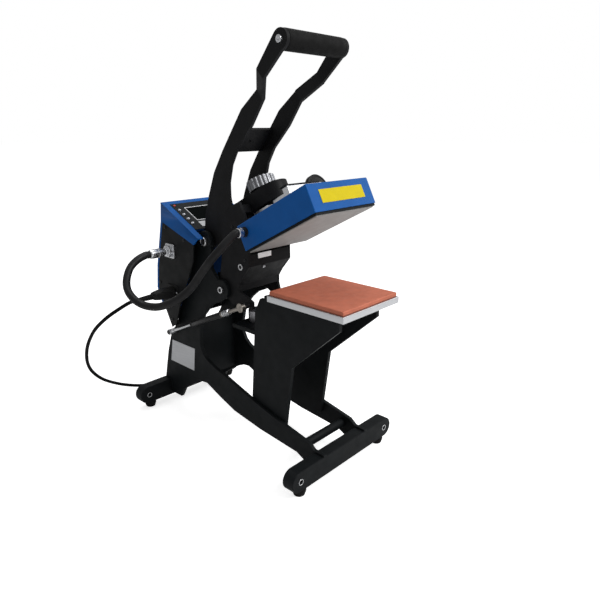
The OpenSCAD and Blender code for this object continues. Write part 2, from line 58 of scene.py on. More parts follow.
bpy.ops.object.camera_add(
    location=CAMERA_PLACE,
    rotation=(math.radians(CAMERA_TILT), 0, math.radians(CAMERA_TURN)))
camera = bpy.context.object
camera.data.sensor_width = 36
camera.data.lens = CAMERA_LENS
bpy.context.scene.camera = camera


# Conduit hose: a black PVC hose that carries the heater's wires from the box to the moving head.
# It is swept along its route.
def metres(points):
    return [Vector(p) / 1000 for p in points]


def smoothed(points, steps):
    """The points of one smooth curve through the given ones."""
    line = []
    for i in range(len(points) - 1):
        a, b = points[max(i - 1, 0)], points[i]
        c, d = points[i + 1], points[min(i + 2, len(points) - 1)]
        for k in range(steps):
            t = k / steps
            line.append(0.5 * (2 * b + (c - a) * t + (2 * a - 5 * b + 4 * c - d) * t * t
                               + (3 * b - a - 3 * c + d) * t ** 3))
    return line + [points[-1]]


def alone(piece):
    """Selects this piece and nothing else."""
    bpy.ops.object.select_all(action="DESELECT")
    piece.select_set(True)
    bpy.context.view_layer.objects.active = piece


def drawn_line(name, points, thickness, sides):
    """A round cord along the points, as a curve of one open spline."""
    curve = bpy.data.curves.new(name, "CURVE")
    curve.dimensions = "3D"
    curve.bevel_depth = thickness / 2
    curve.bevel_resolution = sides
    curve.use_fill_caps = True
    line = curve.splines.new("POLY")
    line.points.add(len(points) - 1)
    for point, place in zip(line.points, points):
        point.co = (*place, 1)
    cord = bpy.data.objects.new(name, curve)
    bpy.context.collection.objects.link(cord)
    return cord


def new_finish(name, colour, roughness, metallic=0.0, specular=0.5):
    """A material with its plain values on the shader's own sockets."""
    material = bpy.data.materials.new(name)
    material.use_nodes = True
    shader = material.node_tree.nodes["Principled BSDF"]
    shader.inputs["Base Color"].default_value = (*colour, 1)
    shader.inputs["Roughness"].default_value = roughness
    shader.inputs["Metallic"].default_value = metallic
    shader.inputs["Specular IOR Level"].default_value = specular
    return material


GRAIN_RANGE = (0.3, 0.7)


def grain_of(material, scale, detail, stretch):
    """A noise on object coordinates: scale is in features a metre."""
    nodes, links = material.node_tree.nodes, material.node_tree.links
    place = nodes.new("ShaderNodeTexCoord")
    mapping = nodes.new("ShaderNodeMapping")
    mapping.inputs["Scale"].default_value = stretch
    noise = nodes.new("ShaderNodeTexNoise")
    noise.inputs["Scale"].default_value = scale
    noise.inputs["Detail"].default_value = detail
    links.new(place.outputs["Object"], mapping.inputs["Vector"])
    links.new(mapping.outputs["Vector"], noise.inputs["Vector"])
    return noise.outputs[0]


def mottled(material, share, scale, stretch=(1, 1, 1)):
    """Lets the colour drift by a share of itself."""
    nodes, links = material.node_tree.nodes, material.node_tree.links
    colour = nodes["Principled BSDF"].inputs["Base Color"].default_value[:3]
    ramp = nodes.new("ShaderNodeValToRGB")
    for end, position, tone in zip(ramp.color_ramp.elements, GRAIN_RANGE, (1 - share, 1 + share)):
        end.position = position
        end.color = (*[c * tone for c in colour], 1)
    links.new(grain_of(material, scale, 3.0, stretch), ramp.inputs["Fac"])
    links.new(ramp.outputs["Color"], nodes["Principled BSDF"].inputs["Base Color"])


def rubbed(material, low, high, scale, stretch=(1, 1, 1)):
    """Lets the roughness drift between two values."""
    nodes, links = material.node_tree.nodes, material.node_tree.links
    between = nodes.new("ShaderNodeMapRange")
    between.inputs["From Min"].default_value = GRAIN_RANGE[0]
    between.inputs["From Max"].default_value = GRAIN_RANGE[1]
    between.inputs["To Min"].default_value = low
    between.inputs["To Max"].default_value = high
    links.new(grain_of(material, scale, 3.0, stretch), between.inputs["Value"])
    links.new(between.outputs[0], nodes["Principled BSDF"].inputs["Roughness"])


def embossed(material, strength, depth, scale, stretch=(1, 1, 1)):
    """A fine relief: depth is in metres."""
    nodes, links = material.node_tree.nodes, material.node_tree.links
    bump = nodes.new("ShaderNodeBump")
    bump.inputs["Strength"].default_value = strength
    bump.inputs["Distance"].default_value = depth
    links.new(grain_of(material, scale, 2.0, stretch), bump.inputs["Height"])
    links.new(bump.outputs["Normal"], nodes["Principled BSDF"].inputs["Normal"])


def fitted(piece, finish, body, slot, *nodes):
    """Gives the piece its finish, and lets it ride on its body in place of these nodes. The slot is
    not used.
    """
    piece.data.materials.clear()
    piece.data.materials.append(finish)
    if body:
        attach(piece, body)
    if nodes:
        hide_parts(*nodes)
    return piece


BOX_HALF = 0.084
HOSE_THICKNESS = 0.015
HOSE_POINTS = metres([
    (-136, 183, 378), (-140, 183, 378), (-146, 183, 378), (-164, 183, 372), (-183, 181, 359),
    (-198, 172, 339), (-206, 156, 322), (-205, 135, 308), (-198, 113, 300), (-188, 85, 301),
    (-179, 57, 312), (-166, 37, 326), (-153, 22, 344), (-146, 2, 371), (-142, -23, 399),
    (-131, -38, 420), (-116, -45, 436), (-102.5, -48.5, 446.4), (-97.5, -48.5, 446.4),
    (-93.5, -48.5, 446.4)])

hose_black = new_finish("hose_black", (0.0105, 0.0105, 0.0115), 0.44, specular=0.22)
mottled(hose_black, 0.25, 60)
rubbed(hose_black, 0.36, 0.56, 90)
embossed(hose_black, 0.25, 0.0004, 700)

hose_line = smoothed(HOSE_POINTS, 6)
hose = drawn_line("conduit_hose_tube", hose_line, HOSE_THICKNESS, 6)
alone(hose)
bpy.ops.object.convert(target="MESH")
hose = bpy.context.object
bpy.ops.object.mode_set(mode="EDIT")
bpy.ops.mesh.select_all(action="SELECT")
bpy.ops.mesh.remove_doubles(threshold=0.00002)
bpy.ops.mesh.normals_make_consistent(inside=False)
bpy.ops.object.mode_set(mode="OBJECT")
bpy.ops.object.shade_smooth_by_angle(angle=math.radians(40))
fitted(hose, hose_black, None, "black_plastic", "conduit_hose")
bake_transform(hose)


# Mains cord: a round black rubber lead. It falls from the connector on the box, runs along the
# bench and is stored in a two-layer coil behind the press, with its plug lying beside the coil.
CORD_THICKNESS = 0.0075
COIL_INNER = 33
COIL_STEP = 8
COIL_HALF = 2.125
CORD_HEIGHT = 4
PLUG_HEIGHT = 17.75
TAIL = 44
CORD_POINTS = [
    (-166, 186, 288), (-170, 186, 288), (-175, 186, 288), (-190, 184, 288), (-208, 194, 277),
    (-224, 221, 255), (-231, 263, 221), (-231, 300, 182), (-225, 330, 145), (-213, 356, 107),
    (-196, 371, 76), (-171, 377, 48), (-142, 368, 30), (-112, 360, 17), (-80, 352, 8),
    (-46, 347, 4.5), (0, 346, CORD_HEIGHT), (40, 346, CORD_HEIGHT), (64, 346, CORD_HEIGHT),
    (70, 346, CORD_HEIGHT), (76, 346, CORD_HEIGHT)]
coil_outer = COIL_INNER + COIL_HALF * COIL_STEP
coil_centre = (84, 346 + coil_outer)


def coil_point(turn):
    radius = COIL_INNER + COIL_STEP * abs(turn - COIL_HALF)
    height = CORD_HEIGHT + COIL_STEP * min(max((turn - COIL_HALF) * 2 + 0.5, 0), 1)
    angle = math.radians(turn * 360 - 90)
    return (coil_centre[0] + radius * math.cos(angle),
            coil_centre[1] + radius * math.sin(angle), height)


coil_steps = int(COIL_HALF * 72)
coil_line = metres([coil_point(k / 36) for k in range(coil_steps + 1)])
coil_way = Vector((math.cos(math.radians(COIL_HALF * 720)),
                   math.sin(math.radians(COIL_HALF * 720)), 0))
coil_last = coil_line[-1]
plug_place = Vector((coil_last.x, coil_last.y, PLUG_HEIGHT / 1000)) + coil_way * TAIL / 1000
tail_line = [coil_last, coil_last + coil_way * 0.012 + Vector((0, 0, 0.0005)),
             coil_last.lerp(plug_place, 0.6), plug_place - coil_way * 0.009, plug_place]
cord_line = smoothed(metres(CORD_POINTS), 6) + coil_line + smoothed(tail_line, 5)[1:]

cord_black = new_finish("cord_black", (0.005, 0.005, 0.005), 0.55, specular=0.06)
mottled(cord_black, 0.2, 80)
rubbed(cord_black, 0.44, 0.62, 120)
embossed(cord_black, 0.3, 0.0002, 1500)

mains_cord = drawn_line("mains_cord", cord_line, CORD_THICKNESS, 3)
fitted(mains_cord, cord_black, "frame", "black_plastic", "cord_run", "cord_coil")


# Connector and strain relief at the box: a moulded rubber connector pushed into the inlet.
# Its body narrows to a ribbed sleeve, which lets the cord out without a kink.
def turned_stack(name, rings, sides, place, along):
    """A turned piece: rings are (distance along its axis, radius) from one end to the other."""
    bpy.ops.object.select_all(action="DESELECT")
    bpy.ops.mesh.primitive_circle_add(vertices=sides, radius=rings[0][1], fill_type="NGON",
                                      location=(0, 0, rings[0][0]))
    piece = bpy.context.object
    piece.name = piece.data.name = name
    bpy.ops.object.transform_apply(location=True, rotation=True, scale=True)
    bpy.ops.object.mode_set(mode="EDIT")
    bpy.ops.mesh.select_mode(type="FACE")
    bpy.ops.mesh.select_all(action="SELECT")
    for (low, before), (high, after) in zip(rings, rings[1:]):
        bpy.ops.mesh.extrude_region_move(
            TRANSFORM_OT_translate={"value": (0, 0, high - low)})
        share = after / before
        bpy.ops.transform.resize(value=(share, share, 1), center_override=(0, 0, high))
    bpy.ops.mesh.select_all(action="SELECT")
    bpy.ops.mesh.normals_make_consistent(inside=False)
    bpy.ops.object.mode_set(mode="OBJECT")
    stand_along(piece, place, along)
    bpy.ops.object.shade_smooth_by_angle(angle=math.radians(32))
    return piece


def stand_along(piece, place, along):
    """Turns a piece drawn up the Z axis to lie along a direction, with its foot at a place."""
    turn = Vector((0, 0, 1)).rotation_difference(Vector(along)).to_matrix().to_4x4()
    piece.data.transform(Matrix.Translation(Vector(place)) @ turn)


def joined(name, pieces):
    """Several meshes as one piece."""
    bpy.ops.object.select_all(action="DESELECT")
    for piece in pieces:
        piece.select_set(True)
    bpy.context.view_layer.objects.active = pieces[0]
    bpy.ops.object.join()
    whole = bpy.context.object
    whole.name = whole.data.name = name
    return whole


def softened(piece, width, segments=2, corner=30, smooth=40):
    """Rounds the piece's sharp edges and keeps its flat faces flat."""
    alone(piece)
    bevel = piece.modifiers.new("Edges", "BEVEL")
    bevel.width = width
    bevel.segments = segments
    bevel.limit_method = "ANGLE"
    bevel.angle_limit = math.radians(corner)
    bpy.ops.object.modifier_apply(modifier="Edges")
    bpy.ops.object.shade_smooth_by_angle(angle=math.radians(smooth))
    flat = piece.modifiers.new("Flats", "WEIGHTED_NORMAL")
    flat.keep_sharp = True
    bpy.ops.object.modifier_apply(modifier="Flats")
    return piece


def pick(piece, kind, wanted):
    """Selects the faces or edges that wanted() says yes to, in edit mode."""
    bpy.ops.mesh.select_mode(type=kind)
    bpy.ops.mesh.select_all(action="DESELECT")
    shape = bmesh.from_edit_mesh(piece.data)
    for part in shape.faces if kind == "FACE" else shape.edges:
        part.select = wanted(part)
    bmesh.update_edit_mesh(piece.data)


def slab(name, low, high, edge=0.0, segments=2):
    """A bar between two corners, with rounded edges."""
    low, high = Vector(low), Vector(high)
    bpy.ops.object.select_all(action="DESELECT")
    bpy.ops.mesh.primitive_cube_add(size=1, location=(low + high) / 2)
    piece = bpy.context.object
    piece.name = piece.data.name = name
    piece.scale = high - low
    bpy.ops.object.transform_apply(location=True, rotation=True, scale=True)
    return softened(piece, edge, segments) if edge else piece


moulded_black = new_finish("moulded_black", (0.0085, 0.0085, 0.0085), 0.5, specular=0.2)
mottled(moulded_black, 0.2, 50)
rubbed(moulded_black, 0.42, 0.6, 70)
embossed(moulded_black, 0.35, 0.0003, 1800)

INLET = (0.186, 0.288)
CONNECTOR_FRONT = -0.086
CONNECTOR_SHOULDER = -0.108
CONNECTOR_END = -0.136
CONNECTOR_HALF = (0.0128, 0.0098)
connector_body = slab(
    "connector_body",
    (CONNECTOR_SHOULDER, INLET[0] - CONNECTOR_HALF[0], INLET[1] - CONNECTOR_HALF[1]),
    (CONNECTOR_FRONT, INLET[0] + CONNECTOR_HALF[0], INLET[1] + CONNECTOR_HALF[1]))
bpy.ops.object.mode_set(mode="EDIT")
pick(connector_body, "FACE", lambda face: face.normal.x < -0.9)
for reach, width, height in ((-0.016, 0.86, 0.86), (-0.012, 0.72, 0.84)):
    bpy.ops.mesh.extrude_region_move(TRANSFORM_OT_translate={"value": (reach, 0, 0)})
    shape = bmesh.from_edit_mesh(connector_body.data)
    centre = sum((f.calc_center_median() for f in shape.faces if f.select), Vector())
    bpy.ops.transform.resize(value=(1, width, height), center_override=centre)
bpy.ops.object.mode_set(mode="OBJECT")
softened(connector_body, 0.0028, 3, corner=20)
RELIEF_RIBS = 7
RELIEF_RADIUS = 0.0062
RIB_STEP = 0.0041
RIB_DEPTH = 0.0011
relief_rings = [(0, RELIEF_RADIUS)]
for k in range(RELIEF_RIBS):
    start = 0.001 + k * RIB_STEP
    radius = RELIEF_RADIUS - k * 0.00022
    relief_rings += [(start, radius), (start + 0.0024, radius),
                     (start + 0.0028, radius - RIB_DEPTH), (start + 0.0038, radius - RIB_DEPTH)]
relief_rings += [(0.0297, 0.0044), (0.03, 0.0042)]
relief = turned_stack("relief", relief_rings, 32, (CONNECTOR_END, *INLET), (-1, 0, 0))
connector = joined("mains_connector", [connector_body, relief])
fitted(connector, moulded_black, "frame", "black_plastic", "cord_connector")


# Mains plug: a round moulded body with a tapered relief and two plated pins.
# It lies on the bench beside the coil.
bright_pin = new_finish("bright_pin", (0.72, 0.70, 0.66), 0.24, metallic=1.0)
rubbed(bright_pin, 0.18, 0.34, 260)
embossed(bright_pin, 0.15, 0.0001, 900)

PLUG_RADIUS = 0.0174
plug_rings = [(0, 0.0046), (0.0012, 0.0056), (0.0045, 0.0062), (0.0052, 0.0054), (0.0068, 0.0058),
              (0.0075, 0.0070), (0.0105, 0.0076), (0.0112, 0.0068), (0.0128, 0.0074),
              (0.0138, 0.0100), (0.0165, 0.0138), (0.0205, 0.0164), (0.0255, PLUG_RADIUS),
              (0.0385, PLUG_RADIUS), (0.0394, 0.0168), (0.0396, 0.0150), (0.0400, 0.0146)]
plug = turned_stack("mains_plug", plug_rings, 48, plug_place, coil_way)
fitted(plug, moulded_black, "frame", "black_plastic", "cord_plug")
pin_side = coil_way.cross(Vector((0, 0, 1)))
plug_pins = joined("plug_pins", [
    turned_stack("pin", [(0.0385, 0.0024), (0.0560, 0.0024), (0.0578, 0.0019), (0.0589, 0.0009)],
                 20, plug_place + pin_side * offset, coil_way) for offset in (-0.0095, 0.0095)])
fitted(plug_pins, bright_pin, "frame", "bright_steel")


# Frame: two profile-cut steel side plates with round lobes at the pivots, joined by a cross panel
# and a turned tie, and bolted to two foot bars. All of it is powder coated in satin black.
def rounded_copy(name, node, width, segments=2, corner=30):
    """A CAD node's shape with its triangles merged and its edges rounded."""
    piece = bpy.data.objects.new(name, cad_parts[node].data.copy())
    bpy.context.collection.objects.link(piece)
    alone(piece)
    bpy.ops.object.mode_set(mode="EDIT")
    bpy.ops.mesh.select_all(action="SELECT")
    bpy.ops.mesh.remove_doubles(threshold=0.00001)
    bpy.ops.mesh.dissolve_limited(angle_limit=math.radians(0.6))
    bpy.ops.object.mode_set(mode="OBJECT")
    return softened(piece, width, segments, corner)


def powder_coat(name, colour, specular=0.1):
    finish = new_finish(name, colour, 0.48, specular=specular)
    mottled(finish, 0.16, 38)
    rubbed(finish, 0.40, 0.56, 55)
    embossed(finish, 0.3, 0.00025, 1400)
    return finish


frame_black = powder_coat("frame_black", (0.0080, 0.0095, 0.0105))
for side in ("left", "right"):
    fitted(rounded_copy(f"frame_plate_{side}", f"side_plate_{side}", 0.0011), frame_black,
           "frame", "black_steel", f"side_plate_{side}")
for place in ("rear", "front"):
    fitted(rounded_copy(f"frame_tie_{place}", f"tie_{place}", 0.0008), frame_black,
           "frame", "black_steel", f"tie_{place}")
    fitted(rounded_copy(f"foot_rail_{place}", f"foot_bar_{place}", 0.0018, 3), frame_black,
           "frame", "black_steel", f"foot_bar_{place}")


# Feet: four moulded rubber feet under the foot bars, each with a bevelled sole.
# A plated ring is pressed into the front of each bench hole in the foot bars.
def cut_out(piece, cutters):
    """Cuts each cutter's shape out of the piece."""
    for cutter in cutters:
        alone(piece)
        cut = piece.modifiers.new("Cut", "BOOLEAN")
        cut.operation = "DIFFERENCE"
        cut.object = cutter
        bpy.ops.object.modifier_apply(modifier="Cut")
        bpy.data.objects.remove(cutter)


def socket_screw(name, place, along, radius, height, key=0.5):
    """A socket head screw: a turned head with a hexagonal key hole."""
    head = turned_stack(name, [
        (0, radius), (height * 0.72, radius), (height * 0.9, radius * 0.96),
        (height, radius * 0.86), (height, radius * key * 1.12),
        (height * 0.9, radius * key * 1.02)], 36, (0, 0, 0), (0, 0, 1))
    bpy.ops.mesh.primitive_cylinder_add(vertices=6, radius=radius * key, depth=height,
                                        location=(0, 0, height * 0.85))
    cut_out(head, [bpy.context.object])
    bpy.ops.object.shade_smooth_by_angle(angle=math.radians(28))
    stand_along(head, place, along)
    return head


foot_rubber = new_finish("foot_rubber", (0.009, 0.009, 0.009), 0.72, specular=0.12)
mottled(foot_rubber, 0.3, 90)
rubbed(foot_rubber, 0.62, 0.82, 120)
embossed(foot_rubber, 0.4, 0.0003, 1100)
bright_zinc = new_finish("bright_zinc", (0.74, 0.75, 0.77), 0.26, metallic=1.0)
mottled(bright_zinc, 0.06, 140)
rubbed(bright_zinc, 0.18, 0.36, 220)
embossed(bright_zinc, 0.12, 0.0002, 500)

FOOT_RINGS = [(0, 0.0092), (0.0007, 0.0103), (0.0022, 0.0108), (0.0090, 0.0129),
              (0.0126, 0.0129), (0.0140, 0.0124)]
for node in ("foot_rear_left", "foot_rear_right", "foot_front_left", "foot_front_right"):
    low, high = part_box(node)
    foot = turned_stack(f"rubber_{node}", FOOT_RINGS, 40,
                        ((low.x + high.x) / 2, (low.y + high.y) / 2, 0), (0, 0, 1))
    fitted(foot, foot_rubber, "frame", "rubber", node)

BENCH_HOLE_X = 0.125
BENCH_HOLE_HEIGHT = 0.034
BAR_FACES = (0.251, -0.228)
bench_rings = []
for x in (-BENCH_HOLE_X, BENCH_HOLE_X):
    for y in BAR_FACES:
        bpy.ops.mesh.primitive_torus_add(
            major_radius=0.0053, minor_radius=0.0007, major_segments=40, minor_segments=10,
            location=(x, y, BENCH_HOLE_HEIGHT), rotation=(math.radians(90), 0, 0))
        bpy.ops.object.transform_apply(location=True, rotation=True, scale=True)
        bpy.ops.object.shade_smooth()
        bench_rings.append(bpy.context.object)
fitted(joined("bench_hole_rings", bench_rings), bright_zinc, "frame", "bright_steel")


# Pivot axles: ground steel axles through both plates, each end with a dark washer and a bright
# socket head. A dark disc at the floor of each key hole is painted shade.
def washer(place, along, inner, outer, thickness):
    return turned_stack("washer", [(0, outer), (thickness * 0.75, outer),
                                   (thickness, outer * 0.97), (thickness, inner)],
                        48, place, along)


HANDLE_PIVOT = (0.093, 0.407)
ARM_PIVOT = (0.046, 0.316)
PLATE_OUTER = 0.065
oiled_black = new_finish("oiled_black", (0.014, 0.014, 0.015), 0.36, specular=0.3)
mottled(oiled_black, 0.2, 120)
rubbed(oiled_black, 0.30, 0.44, 200)
embossed(oiled_black, 0.15, 0.0002, 900)


def key_hole_shade(place, along, radius):
    """A dark disc at the floor of a screw's key hole: painted shade for the deep hole."""
    return turned_stack("floor", [(0, radius), (0.0006, radius)], 24, place, along)


for name, node, pivot, radius in (("handle_axle", "axle_handle", HANDLE_PIVOT, 0.0092),
                                  ("arm_axle", "axle_arm", ARM_PIVOT, 0.0068)):
    parts = []
    dark_parts_and_key_shade = [turned_stack("shaft", [(0, 0.008), (2 * PLATE_OUTER, 0.008)], 40,
                               (-PLATE_OUTER, *pivot), (1, 0, 0))]
    for side in (-1, 1):
        dark_parts_and_key_shade.append(washer((side * PLATE_OUTER, *pivot), (side, 0, 0),
                                 radius, radius * 1.12, 0.0011))
        parts.append(socket_screw("head", (side * (PLATE_OUTER + 0.0008), *pivot),
                                  (side, 0, 0), radius, 0.0036, key=0.70))
        # The dark disc in the key hole is painted shade.
        dark_parts_and_key_shade.append(key_hole_shade((side * (PLATE_OUTER + 0.0018), *pivot), (side, 0, 0),
                                    radius * 0.68))
    fitted(joined(name, parts), bright_zinc, "frame", "bright_steel", node)
    fitted(joined(f"{name}_shaft", dark_parts_and_key_shade), oiled_black, "frame", "black_steel")


# Control box: a folded steel shell in blue paint, with a sloping top, set over two black side
# panels. The lid wraps over the sides, and the rear wall leaves a narrow lip beside each panel.
# The front wall stands between the frame's plates and is painted a darker blue: painted shade.
box_blue = new_finish("box_blue", (0.006, 0.094, 0.345), 0.36, specular=0.12)
mottled(box_blue, 0.07, 24)
rubbed(box_blue, 0.29, 0.43, 45)
embossed(box_blue, 0.2, 0.0002, 900)
panel_black = powder_coat("panel_black", (0.0115, 0.0120, 0.0125))

fitted(rounded_copy("box_cover", "box_lid", 0.0016, 3, corner=25), box_blue,
       "frame", "blue_paint", "box_lid")
fitted(rounded_copy("box_rear_wall", "box_back", 0.0009), box_blue,
       "frame", "blue_paint", "box_back")
# A darker copy of the box's blue paint: painted shade for the front wall between the plates.
box_blue_painted_shade = new_finish("box_blue_painted_shade", (0.004, 0.035, 0.13), 0.5, specular=0.08)
mottled(box_blue_painted_shade, 0.07, 24)
fitted(rounded_copy("box_front_wall", "box_front", 0.0006), box_blue_painted_shade,
       "frame", "blue_paint", "box_front")
for side in ("left", "right"):
    fitted(rounded_copy(f"box_panel_{side}", f"box_side_{side}", 0.0006), panel_black,
           "frame", "black_steel", f"box_side_{side}")


# Box liner: a thin sheet that closes the box behind the frame's plates, dark as painted shade. It
# runs up the rear as a narrow strip on each side, and crosses the whole width as the box's floor.
def shade_lining(left, right, start, end, skipped=0.0):
    """A sheet between two points of the side view, less a share of it at its start."""
    run = math.hypot(end[0] - start[0], end[1] - start[1])
    sheet = slab("sheet", (left, skipped * run, -SHADE_LINER_THICKNESS), (right, run, 0))
    sheet.data.transform(
        Matrix.Translation((0, *start))
        @ Matrix.Rotation(math.atan2(end[1] - start[1], end[0] - start[0]), 4, "X"))
    return sheet


SHADE_LINER = ((0.199, 0.2055), (0.228, 0.2495), (0.2435, 0.287), (0.2365, 0.337))
SHADE_LINER_THICKNESS = 0.0010
SHADE_LINER_INNER = 0.0655
SHADE_LINER_OUTER = 0.0808
shade_liner_parts = []
for left, right in ((-SHADE_LINER_OUTER, -SHADE_LINER_INNER), (SHADE_LINER_INNER, SHADE_LINER_OUTER)):
    shade_liner_parts += [shade_lining(left, right, start, end) for start, end in zip(SHADE_LINER, SHADE_LINER[1:])]
shade_liner_parts.append(shade_lining(-0.0805, 0.0805, SHADE_LINER[0], SHADE_LINER[1], skipped=0.25))
# The liner's dark finish is painted shade for the inside of the box.
fitted(joined("box_shade_liner", shade_liner_parts), panel_black, "frame", "black_steel")


# Panel screws: four dark socket screws in each side panel.
dark_screw = new_finish("dark_screw", (0.05, 0.05, 0.052), 0.34, metallic=0.8)
rubbed(dark_screw, 0.28, 0.44, 300)
embossed(dark_screw, 0.2, 0.0002, 700)
PANEL_SCREWS = ((0.200, 0.4255), (0.136, 0.4065), (0.234, 0.300), (0.197, 0.222))
panel_screws = joined("panel_screws", [
    socket_screw("screw", (side * (BOX_HALF - 0.0002), y, z), (side, 0, 0), 0.0031, 0.0019)
    for side in (-1, 1) for y, z in PANEL_SCREWS])
fitted(panel_screws, dark_screw, "frame", "black_steel")


# Control panel: a dark anodised plate on the sloping top, with a black display in a white frame,
# a light key strip below it, and a red lamp and a row of four metal push buttons beside it.
LID_FOOT = Vector((0, 0.088, 0.416))
LID_ANGLE = math.atan2(60, 121)


def on_lid(piece):
    """Moves a piece drawn flat onto the box's sloping top."""
    piece.data.transform(Matrix.Translation(LID_FOOT) @ Matrix.Rotation(LID_ANGLE, 4, "X"))
    return piece


anodised_dark = new_finish("anodised_dark", (0.010, 0.012, 0.014), 0.5, specular=0.12)
mottled(anodised_dark, 0.15, 60, stretch=(1, 12, 1))
rubbed(anodised_dark, 0.44, 0.58, 90, stretch=(1, 14, 1))
embossed(anodised_dark, 0.15, 0.0002, 500, stretch=(1, 20, 1))
white_trim = new_finish("white_trim", (0.74, 0.75, 0.77), 0.4)
mottled(white_trim, 0.04, 120)
embossed(white_trim, 0.1, 0.0002, 900)
display_glass = new_finish("display_glass", (0.005, 0.006, 0.006), 0.46, specular=0.0)
rubbed(display_glass, 0.42, 0.50, 60)
embossed(display_glass, 0.04, 0.0002, 120)
key_silver = new_finish("key_silver", (0.50, 0.51, 0.53), 0.38, metallic=0.35)
mottled(key_silver, 0.08, 80, stretch=(1, 10, 1))
embossed(key_silver, 0.12, 0.0002, 700)

DISPLAY_LOW = (-0.044, 0.059)
DISPLAY_HIGH = (0.018, 0.104)
BUTTON_X = -0.062
BUTTON_PLACES = [(BUTTON_X, 0.050 + k * 0.016, 0) for k in range(4)]


def over_display(name, growth, low, high, edge=0.0):
    """A slab over the display, each side moved out by the growth."""
    return slab(name, (DISPLAY_LOW[0] - growth, DISPLAY_LOW[1] - growth, low),
                (DISPLAY_HIGH[0] + growth, DISPLAY_HIGH[1] + growth, high), edge)


panel_plate = slab("panel_plate", (-0.0695, 0.0285, -0.0001), (0.0695, 0.1235, 0.0008))
openings = [over_display("window", 0, -0.01, 0.01)]
for place in BUTTON_PLACES:
    bpy.ops.mesh.primitive_cylinder_add(vertices=32, radius=0.0042, depth=0.02, location=place)
    openings.append(bpy.context.object)
cut_out(panel_plate, openings)
softened(panel_plate, 0.0003, 1)
fitted(on_lid(panel_plate), anodised_dark, "frame", "panel_metal")

trim = over_display("display_trim", 0.0017, -0.0002, 0.0016)
cut_out(trim, [over_display("opening", 0, -0.01, 0.01)])
softened(trim, 0.0005, 2)
fitted(on_lid(trim), white_trim, "frame", "panel_metal", "display_frame")

screen = over_display("display_glass_pane", -0.0002, -0.003, 0.0004, 0.0003)
fitted(on_lid(screen), display_glass, "frame", "display_black", "display_screen")

key_strip = joined("key_strip", [
    slab("key", (x, 0.0345, 0.0006), (x + 0.0165, 0.0525, 0.0016), 0.0005)
    for x in (-0.047, -0.0285, -0.010, 0.0085)])
fitted(on_lid(key_strip), key_silver, "frame", "panel_metal")

push_metal = new_finish("push_metal", (0.42, 0.43, 0.46), 0.3, metallic=1.0)
mottled(push_metal, 0.08, 300)
rubbed(push_metal, 0.16, 0.32, 400)
embossed(push_metal, 0.12, 0.0001, 900)
BUTTON_RINGS = [(-0.0055, 0.005), (-0.0045, 0.005), (-0.0045, 0.0035), (0.0019, 0.0035),
                (0.0023, 0.0033), (0.0025, 0.0029), (0.0024, 0.0022), (0.00225, 0.0012)]
for k, body in enumerate(("button_a", "button_b", "button_c", "button_d")):
    button = turned_stack(f"push_button_{k + 1}", BUTTON_RINGS, 32, BUTTON_PLACES[k], (0, 0, 1))
    fitted(on_lid(button), push_metal, body, "button_metal", f"button_{k + 1}")

lamp_red = new_finish("lamp_red", (0.55, 0.035, 0.02), 0.22)
mottled(lamp_red, 0.15, 400)
embossed(lamp_red, 0.1, 0.0001, 600)
LAMP_RINGS = [(0.0006, 0.0026), (0.0014, 0.0026), (0.0020, 0.0021), (0.0023, 0.0011)]
lamp = turned_stack("panel_lamps", LAMP_RINGS, 24, (BUTTON_X, 0.1165, 0), (0, 0, 1))
fitted(on_lid(lamp), lamp_red, "frame", "red_plastic")


# Power rocker: a red rocker in the right side panel, its face hollowed so that a finger finds it.
rocker = rounded_copy("rocker_switch", "power_rocker", 0.0009, 3)
fitted(rocker, lamp_red, "rocker", "red_plastic", "power_rocker")


# Conduit outlet: a plated square flange held by four screws, a hexagonal nut, a narrow neck and
# a crimped ferrule round the hose's end.
def hexagon(radius, depth, place, edge, segments=2, tip=0):
    """A hexagonal nut or bolt head with soft edges, tipped over by some degrees about Y."""
    bpy.ops.mesh.primitive_cylinder_add(vertices=6, radius=radius, depth=depth,
                                        location=place, rotation=(0, math.radians(tip), 0))
    bpy.ops.object.transform_apply(location=True, rotation=True, scale=True)
    return softened(bpy.context.object, edge, segments)


def lies_along_x(edge):
    way = edge.verts[0].co - edge.verts[1].co
    return abs(way.x) > 0.5 * way.length


CONDUIT = (0.183, 0.378)
FLANGE_FACE = -0.088
FLANGE_HALF = 0.015
FLANGE_SCREW = 0.0107
flange = slab("flange", (FLANGE_FACE, CONDUIT[0] - FLANGE_HALF, CONDUIT[1] - FLANGE_HALF),
              (-BOX_HALF, CONDUIT[0] + FLANGE_HALF, CONDUIT[1] + FLANGE_HALF))
bpy.ops.object.mode_set(mode="EDIT")
pick(flange, "EDGE", lies_along_x)
bpy.ops.mesh.bevel(offset=0.004, segments=5)
bpy.ops.object.mode_set(mode="OBJECT")
softened(flange, 0.0006)
nut = hexagon(0.0134, 0.008, (FLANGE_FACE - 0.004, *CONDUIT), 0.0009, 3, tip=90)
SLEEVE_RINGS = [(0, 0.0092), (0.0025, 0.0092), (0.0032, 0.0066), (0.0125, 0.0066),
                (0.0135, 0.0084), (0.0150, 0.0095), (0.0205, 0.0095), (0.0212, 0.0088),
                (0.0228, 0.0088), (0.0235, 0.0095), (0.0345, 0.0095), (0.0385, 0.0090),
                (0.0400, 0.0080)]
sleeve = turned_stack("sleeve", SLEEVE_RINGS, 40, (FLANGE_FACE - 0.008, *CONDUIT), (-1, 0, 0))
flange_screws = [
    socket_screw("screw", (FLANGE_FACE + 0.0002, CONDUIT[0] + dy, CONDUIT[1] + dz), (-1, 0, 0),
                 0.0024, 0.0018)
    for dy in (-FLANGE_SCREW, FLANGE_SCREW) for dz in (-FLANGE_SCREW, FLANGE_SCREW)]
boss = turned_stack("boss", [(0, 0.008), (0.007, 0.008)], 40, (-BOX_HALF, *CONDUIT), (1, 0, 0))
fitted(joined("conduit_outlet", [flange, nut, sleeve, boss] + flange_screws), bright_zinc,
       "frame", "bright_steel", "conduit_flange")


